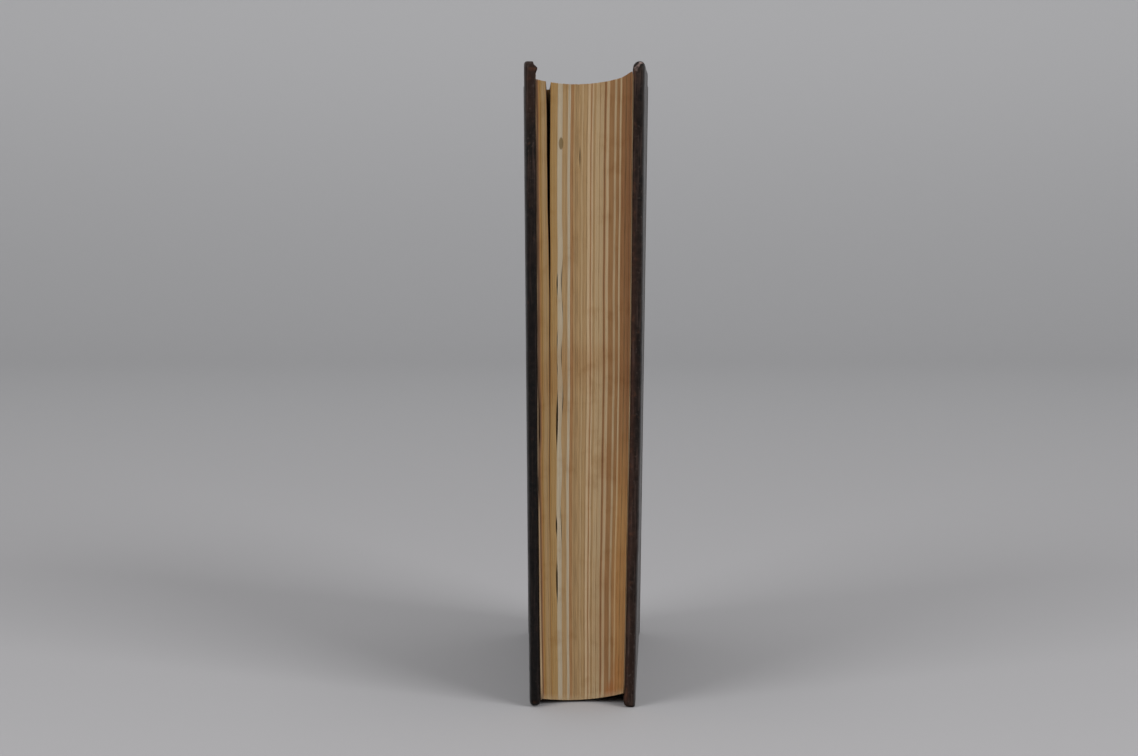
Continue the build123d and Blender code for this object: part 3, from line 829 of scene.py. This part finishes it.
leaf_edges = leaf_look()
middle_end = mix(SPLIT_SHARE, 1.0, middle_count / (leaf_count - front_count))
leaf_block(
    "front_leaves", 0, FRONT_STRIPES,
    lambda z, run: left_gap(z) * run, lambda z, run: SPLIT_SHARE - split_at(z, run),
)
leaf_block("middle_leaves", front_count, MIDDLE_STRIPES, main_share(SPLIT_SHARE), main_share(middle_end))
leaf_block("back_leaves", front_count + middle_count, BACK_STRIPES, main_share(middle_end), main_share(1.0))


# Endpapers, on a grid with these distances from the fore-edge in its last strip
FORE_LINES = np.array([8.0, 5.0, 3.0, 2.0, 1.4, 1.0, 0.7, 0.4, 0.2, 0.0])
FORE_STRIP = 12.0
SHEET_COLUMNS, SHEET_ROWS = 24, 56
BUCKLES = (0.04, 28.0, 6)  # height, size and seed
BLOTCHES = (0.5, 14.0, 8)  # the same, for the brown of the margins
MARGIN_FADE = 9.0
PASTED_STEP = 0.12  # how much lower a pastedown lies inside the turn-ins
STEP_BEFORE, STEP_AFTER = 0.5, 3.0  # reach of that step to either side of their edge
FALL_LENGTH = 1.5
PALE_LOW, PALE_HIGH = 72.0, 84.0  # heights between which the front free leaf turns from pale to brown
# How brown the margins are near the tail and above, and how far a free leaf reaches past the others there
PASTED_MARGIN = {"front": (0.95, 0.95), "back": (0.6, 0.6)}
FREE_MARGIN = {"front": (0.58, 1.0), "back": (0.6, 0.6)}
FREE_REACH = {"front": 2.5, "back": 0.0}


def near_tail(height):
    return smooth(PALE_HIGH, PALE_LOW, height)


def paper_sheet(name, side, low, body, stands_for, margin, shape, reach=0.0):
    """Thin sheet beside a cover, gently cockled. Shape gives its inset from the cover's outer face."""
    plain = np.linspace(low, TEXT_DEPTH - FORE_STRIP, SHEET_COLUMNS)
    heights = np.linspace(TEXT_TAIL, TEXT_HEAD, SHEET_ROWS)
    depth, height = np.meshgrid(np.concatenate([plain, TEXT_DEPTH - FORE_LINES]), heights)
    flat = np.stack([np.zeros_like(depth), depth, height], -1)
    inset = shape(side, depth, height) + rough(flat, *BUCKLES)
    edge = np.minimum(np.minimum(TEXT_DEPTH - depth, height - TEXT_TAIL), TEXT_HEAD - height)
    brown = mix(*margin, smooth(PALE_LOW, PALE_HIGH, height))
    wear = brown * np.exp(-np.maximum(edge, 0) / MARGIN_FADE) * (1 + rough(flat, *BLOTCHES))
    depth = depth + reach * smooth(TEXT_DEPTH - 2 * FALL_LENGTH, TEXT_DEPTH, depth) * near_tail(height)
    points = cover_point(side, inset, depth, height)
    if body == "book_block":
        points[..., 2] -= drop(np.full_like(depth, SIDES.index(side)), points[..., 1])
    sheet = make_grid(name, points, out[side], np.clip(wear, 0, 1))
    thicken(sheet, PAPER_THICKNESS * SHEET_SHARE, 0)
    dress(sheet, endpaper, body, [stands_for])


def pasted_leaf(side, depth, height):
    """A pastedown lies a little lower where no leather is turned in under it."""
    low, high = TURN_IN_WIDTH - STEP_BEFORE, TURN_IN_WIDTH + STEP_AFTER
    step = PASTED_STEP * smooth(low, high, from_edge(depth, height))
    return PASTEDOWN_INSET - step + pushed(side, COVER_THICKNESS, depth, height)[0]


def free_leaf(side, depth, height):
    """A free leaf closes up to the pasted one at the fore-edge. Near the tail the front one stays by the
    leaves, and only its edge falls back to the cover."""
    fore_inset = FREE_LEAF_INSET + pushed(side, COVER_THICKNESS, TEXT_DEPTH, height)[0]
    inset = mix(ENDPAPER_INSET, fore_inset, depth / TEXT_DEPTH)
    if side == "back":
        return inset
    stays = smooth(TEXT_DEPTH, TEXT_DEPTH - FALL_LENGTH, depth) * near_tail(height)
    return inset + left_gap(height) * THICKNESS * depth / TEXT_DEPTH * stays


for side in SIDES:
    paper_sheet(
        f"{side}_pasted_paper", side, BOARD_SETBACK, f"{side}_cover", f"{side}_pastedown",
        PASTED_MARGIN[side], pasted_leaf,
    )
    paper_sheet(
        f"{side}_free_leaf", side, SHOULDER_DEPTH, "book_block", f"{side}_free_endpaper",
        FREE_MARGIN[side], free_leaf, FREE_REACH[side],
    )


# Spine: leather moulded over the cords, folded in at the tail and worn away at the head
SPINE_COLUMNS = 97
SPINE_END = 0.985
BAND_HALF_WIDTH = 4.2
BAND_END, BAND_FULL = 0.97, 0.74  # shares between which a band rises to its height
BAND_REACH, BAND_LINES = 5.0, 15
PLAIN_LOW, PLAIN_HIGH, PLAIN_STEP = 4.0, COVER_HEIGHT - 3.0, 6.0  # levels away from the bands
RIM_RADIUS = 0.6
RIM_INSET = 0.12
RIM_STEPS = 9
CAP_LINES = (RIM_RADIUS, 1.4, 2.6)  # levels near head and tail, from the end
CAP_FADE, CAP_DIP = 2.0, 0.15
FOLD_THICKNESS = 0.42  # added behind the leather by its fold at an end
FOLD_TAPER = 1.0
WEAR_START = 200.0
FRAY_DROP, FRAY_SPREAD = 0.3, 26
FRAY = (0.25, 1.9, 12)  # height, size and seed
CREST_RUB, CAP_RUB, SIDE_RUB, RIM_RUB = 0.35, 0.35, 0.15, 0.5
SIDE_START = 0.9
SPINE_UNEVEN = (0.06, 11.0, 5)


def band_rise(z, share):
    rise = 0.0
    for cord in cord_heights:
        rise = rise + 0.5 + 0.5 * np.cos(pi * np.clip(np.abs(z - cord) / BAND_HALF_WIDTH, 0, 1))
    return BAND_HEIGHT * rise * smooth(BAND_END, BAND_FULL, np.abs(share))


def worn_height(z, share):
    """Heights on the spine, squeezed below the frayed edge that wear has left at the head."""
    across = np.stack([share * FRAY_SPREAD, 0 * share, 0 * share], -1)
    edge = COVER_HEIGHT - mix(HEAD_WEAR_MIDDLE, HEAD_WEAR_ENDS, share**2)
    edge = edge - FRAY_DROP + rough(across, *FRAY)
    squeezed = WEAR_START + (z - WEAR_START) * (edge - WEAR_START) / (COVER_HEIGHT - WEAR_START)
    return np.where(z > WEAR_START, squeezed, z)


def spine_levels():
    """Levels of the spine's grid: close over the bands and at the ends, wide between them."""
    offsets = np.linspace(-BAND_REACH, BAND_REACH, BAND_LINES)
    fine = [cord + offset for cord in cord_heights for offset in offsets]
    plain = np.arange(PLAIN_LOW, PLAIN_HIGH, PLAIN_STEP)
    plain = [z for z in plain if min(abs(z - cord) for cord in cord_heights) > PLAIN_STEP]
    return sorted(fine + plain + [*CAP_LINES] + [COVER_HEIGHT - line for line in CAP_LINES])


def spine_leather():
    levels = spine_levels()
    arcs = np.linspace(0, pi, RIM_STEPS)[1:-1]
    share = np.linspace(-SPINE_END, SPINE_END, SPINE_COLUMNS)
    loop = [("outer", z) for z in levels] + [("head", angle) for angle in arcs]
    loop += [("inner", z) for z in reversed(levels)] + [("tail", angle) for angle in arcs]
    rows, wear = [], []
    for kind, value in loop:
        if kind in ("outer", "inner"):
            z = np.full_like(share, value)
            from_end = min(value, COVER_HEIGHT - value)
            cap = np.exp(-from_end / CAP_FADE)
            rise = band_rise(z, share)
            folded = FOLD_THICKNESS * smooth(CAP_TURN_IN, CAP_TURN_IN - FOLD_TAPER, from_end)
            inset = CAP_DIP * cap - rise if kind == "outer" else LEATHER_THICKNESS - rise + folded
            rubbed = CREST_RUB * (rise / BAND_HEIGHT) ** 2 + CAP_RUB * cap
            rubbed = rubbed + SIDE_RUB * smooth(SIDE_START, 1.0, np.abs(share))
        else:
            middle = (RIM_INSET + LEATHER_THICKNESS + FOLD_THICKNESS) / 2
            sign, base = (1, COVER_HEIGHT - RIM_RADIUS) if kind == "head" else (-1, RIM_RADIUS)
            inset = np.full_like(share, middle - (middle - RIM_INSET) * np.cos(value) * sign)
            z = np.full_like(share, base + sign * RIM_RADIUS * np.sin(value))
            rubbed = np.full_like(share, RIM_RUB)
        rows.append(spine_point(worn_height(z, share), inset, share))
        wear.append(rubbed)
    points = np.array(rows)
    points[..., 1] += rough(points, *SPINE_UNEVEN)
    index = numbered(len(loop), SPINE_COLUMNS)
    faces = cell_quads(np.concatenate([index, index[:1]]))
    outer_head = len(levels) - 1
    inner_tail = len(loop) - len(arcs) - 1
    for column in (0, SPINE_COLUMNS - 1):
        ends = index[:, column].tolist()
        for k in range(outer_head):
            faces.append([ends[k], ends[k + 1], ends[inner_tail - 1 - k], ends[inner_tail - k]])
        faces.append(ends[outer_head : outer_head + len(arcs) + 2])
        faces.append(ends[inner_tail:] + ends[:1])
    spine = make("spine_skin", points, faces, wear=np.clip(np.array(wear), 0, 1))
    dress(spine, leather, "book_block", ["spine_leather"])


spine_leather()


# Joints: a leather strip outside and a paper lining inside
SPINE_LINES = np.array([6.0, 4.6, 3.3, 2.3, 1.6])  # of the strip, as distances from the hinge line
COVER_LINES = np.array([1.35, 2.0, 3.0, 4.0, 5.0])
STRIP_PROUD = 0.04  # above the leather below it, and as far into it at the strip's edges
STRIP_THICKNESS = 0.3
STRIP_RUB, RIDGE_RUB = 0.1, 0.2
STRIP_BEND = (-0.5, 0.95)  # depths given to bend_between for the strip, which bends nothing
RIDGE_START = 0.8  # angle at which the ridge leaves the cover's face, in radians
RIDGE_STEPS = 13
ARC_OVER_CHORD = 1.02  # leather from a hinge line to the middle of the spine, over its chord
JOINT_ROWS = 60
LINING_CLEARANCE = 0.06
LINING_FLOOR = 1.5  # inset of the lining where it is deepest
LINING_TOP = TEXT_INSET - 0.1
LINING_SLACK = 0.12
LINING_THICKNESS = 0.08
LINING_WEAR = 0.5
WALL_STEPS, FLOOR_STEPS = 5, 14
BEND_MARGIN = 0.01


def bend_between(piece, side, inset, depths):
    """Bake a piece's placement into its mesh. The points at either end of a range of depths at mid height are
    worked out but not used, so nothing bends.
    """
    start, end = (cover_point(side, inset, depth, COVER_HEIGHT / 2) * MM for depth in depths)
    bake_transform(piece)


def strip_inset(lines):
    return np.where(lines < lines.max(), -STRIP_PROUD, STRIP_PROUD)


def joint_strip(side):
    """Leather from the spine over the low ridge of the joint on to the cover."""
    turn = -1 if side == "front" else 1
    half_arc = np.hypot(SPINE_ROUND, foot["back"][0]) * ARC_OVER_CHORD
    z = np.linspace(0.0, COVER_HEIGHT - HEAD_WEAR_ENDS, JOINT_ROWS)[:, None]
    over_spine = spine_point(z, strip_inset(SPINE_LINES), turn * (1 - SPINE_LINES / half_arc))
    angle = np.linspace(pi - RIDGE_START, RIDGE_START, RIDGE_STEPS)[:, None]
    way = np.cos(angle) * ahead[side] + np.sin(angle) * out[side]
    ridge = cover_point(side, RIDGE_INSET, 0.0, z) + RIDGE_RADIUS * way
    over_cover = cover_point(side, strip_inset(COVER_LINES), COVER_LINES, z)
    points = np.concatenate([over_spine, ridge, over_cover], 1)
    rub = [STRIP_RUB] * len(SPINE_LINES) + [RIDGE_RUB] * RIDGE_STEPS + [STRIP_RUB] * len(COVER_LINES)
    strip = make_grid(f"{side}_joint_leather", points, out[side], [rub] * JOINT_ROWS)
    thicken(strip, STRIP_THICKNESS, -1)
    bend_between(strip, side, 0.0, STRIP_BEND)
    dress(strip, leather)


def joint_lining(side):
    """Paper in the gap between the shoulder of the leaves and the edge of the board."""
    shoulder, board = SHOULDER_DEPTH + LINING_CLEARANCE, BOARD_SETBACK - LINING_CLEARANCE
    profile = [(inset, shoulder) for inset in np.linspace(LINING_TOP, LINING_FLOOR, WALL_STEPS)]
    for share in np.linspace(0, 1, FLOOR_STEPS)[1:-1]:
        profile.append((LINING_FLOOR - LINING_SLACK * np.sin(pi * share), mix(shoulder, board, share)))
    profile += [(inset, board) for inset in np.linspace(LINING_FLOOR, PASTEDOWN_INSET, WALL_STEPS)]
    inset, depth = np.array(profile).T
    height = np.linspace(TEXT_TAIL, TEXT_HEAD, JOINT_ROWS)[:, None]
    points = cover_point(side, inset, depth, height)
    lining = make_grid(f"{side}_joint_paper", points, wear=np.full(points.shape[:2], LINING_WEAR))
    thicken(lining, LINING_THICKNESS, 0)
    bend_between(lining, side, LINING_FLOOR, (shoulder + BEND_MARGIN, board - BEND_MARGIN))
    dress(lining, endpaper)


for side in SIDES:
    joint_strip(side)
    joint_lining(side)


# Solids that stay as they are
for node, material in {
    "front_board": pasteboard,
    "back_board": pasteboard,
    "sewing_cords": cord_thread,
    "spine_linings": lining_paper,
}.items():
    paint(frame["nodes"][node], material)

# Stage, light and camera, in metres
STAGE_WIDTH = 12.0
STAGE_FRONT = -4.0
STAGE_BACK = 2.4
STAGE_HEIGHT = 4.0
STAGE_BEND = 1.0
BEND_STEPS = 17
SKY_STRENGTH = 0.45
LIGHT_TARGET = (0, 0, 0.1)
CAMERA_PLACE = (-0.00685, -1.028, 0.2033)
CAMERA_TILT = 5.1  # degrees below level
CAMERA_LENS, SENSOR_WIDTH = 85.1, 36.0  # in millimetres


def stage_sheet():
    """Seamless sheet: a floor that bends up into a backdrop."""
    bend = [
        (STAGE_BACK - STAGE_BEND + STAGE_BEND * np.sin(a), STAGE_BEND - STAGE_BEND * np.cos(a))
        for a in np.linspace(0, pi / 2, BEND_STEPS)
    ]
    line = [(STAGE_FRONT, 0.0), *bend, (STAGE_BACK, STAGE_HEIGHT)]
    points = np.array([[(x, y, z) for x in (-STAGE_WIDTH / 2, STAGE_WIDTH / 2)] for y, z in line]) / MM
    return make_grid("studio_sheet", points, (0, 0, 1))


def stage_look():
    look = Look("studio_grey")
    parts = look.add("SeparateXYZ", {"Vector": look.place}).outputs
    # painted light: the grey is drawn lighter further back and higher up the backdrop
    colour = look.blend(look.ramp(parts["Y"], 0.2, 1.4), rgba(155, 154, 156), rgba(163, 163, 165))
    colour = look.blend(look.ramp(parts["Z"], 0.0, 0.4), colour, rgba(180, 180, 182))
    return look.finish(colour, 0.9, look.bump(look.noise(900, 2.0), 0.02, 0.2))


stage = stage_sheet()
paint(stage, stage_look())

world = bpy.context.scene.world or bpy.data.worlds.new("studio")
bpy.context.scene.world = world
world.use_nodes = True
sky = world.node_tree.nodes["Background"]
sky.inputs["Color"].default_value = (1.0, 1.0, 1.0, 1.0)
sky.inputs["Strength"].default_value = SKY_STRENGTH


def soft_light(name, place, size, power):
    lamp = bpy.data.lights.new(name, "AREA")
    lamp.size = size
    lamp.energy = power
    made = bpy.data.objects.new(name, lamp)
    made.location = place
    made.rotation_euler = (Vector(LIGHT_TARGET) - Vector(place)).to_track_quat("-Z", "Y").to_euler()
    bpy.context.scene.collection.objects.link(made)


soft_light("left_softbox", (-1.5, -1.5, 1.2), 1.2, 30.0)
soft_light("right_softbox", (1.5, -1.5, 1.2), 1.2, 40.0)
soft_light("top_softbox", (0.0, 0.3, 2.2), 1.6, 12.0)

camera = bpy.data.objects.new("camera", bpy.data.cameras.new("camera"))
camera.location = CAMERA_PLACE
camera.rotation_euler = (radians(90 - CAMERA_TILT), 0, 0)
camera.data.sensor_width = SENSOR_WIDTH
camera.data.lens = CAMERA_LENS
bpy.context.scene.collection.objects.link(camera)
bpy.context.scene.camera = camera
bpy.context.scene.view_settings.view_transform = "Standard"
